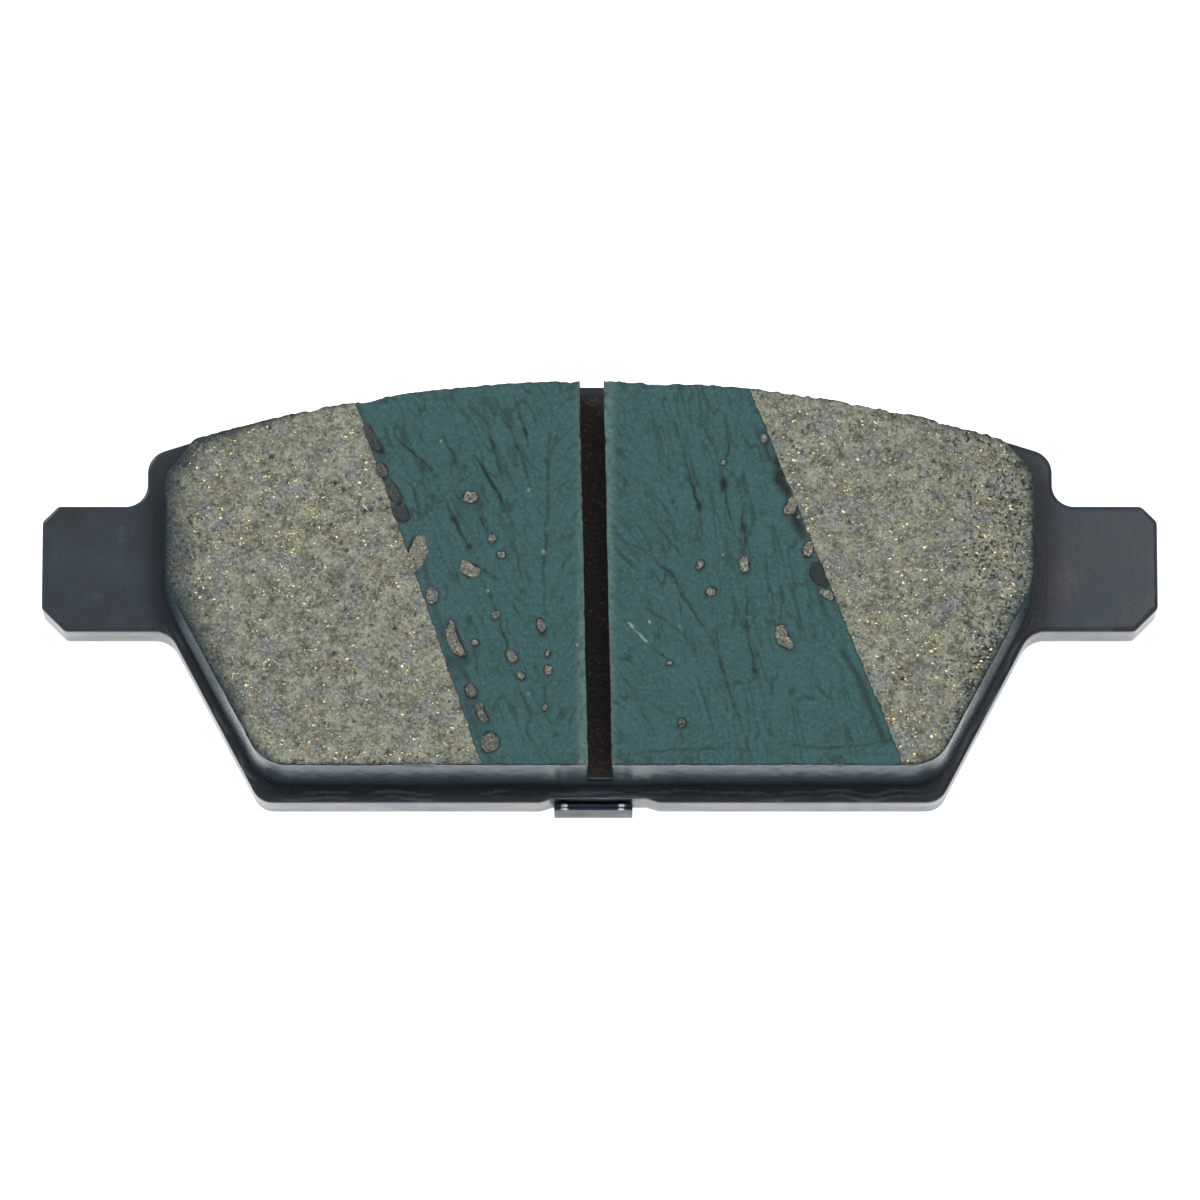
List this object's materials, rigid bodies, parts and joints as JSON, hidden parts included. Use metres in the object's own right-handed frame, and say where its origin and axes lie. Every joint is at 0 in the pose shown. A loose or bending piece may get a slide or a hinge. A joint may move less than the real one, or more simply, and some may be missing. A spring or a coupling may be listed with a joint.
{
  "type": "disc brake pad",
  "caption": "Disc brake pad: slotted friction lining with two coated areas on an eared, arched backing plate, and a clip-on shim.",
  "frame": {"origin": "middle of the bounding box, on the outer face of the shim, on which the pad lies", "axes": "+X from ear to ear, +Y towards the arched edge and away from the disc's axle, +Z out of the friction face"},
  "size_m": [0.1128, 0.0438, 0.0154],
  "materials": {
    "outer_rubber": "matt black rubber coat",
    "shim_steel_outer": "bare rolled steel, satin",
    "damping_core": "dark visco-elastic adhesive",
    "shim_steel_inner": "bare rolled steel, satin",
    "inner_rubber": "matt black rubber coat",
    "plate_coat": "satin blue-black coat on stamped steel",
    "adhesive": "cured phenolic adhesive",
    "underlayer": "moulded underlayer, painted over at its edge",
    "friction": "granular friction compound with brass flecks",
    "coating_green": "matt green break-in coating with a fine grain"
  },
  "bodies": {
    "shim": {"shim_outer_rubber": "outer_rubber", "shim_outer_steel": "shim_steel_outer", "shim_damping_core": "damping_core", "shim_inner_steel": "shim_steel_inner", "shim_inner_rubber": "inner_rubber"},
    "pad": {"backing_plate": "plate_coat", "bonding_adhesive": "adhesive", "underlayer": "underlayer", "friction_block": "friction", "transfer_film_left": "coating_green", "transfer_film_right": "coating_green"}
  },
  "joints": [
    {"name": "pad_lift_off", "type": "slide", "parent": "shim", "child": "pad", "axis": [0, 0, 1], "range_m": [0, 0.012]}
  ]
}
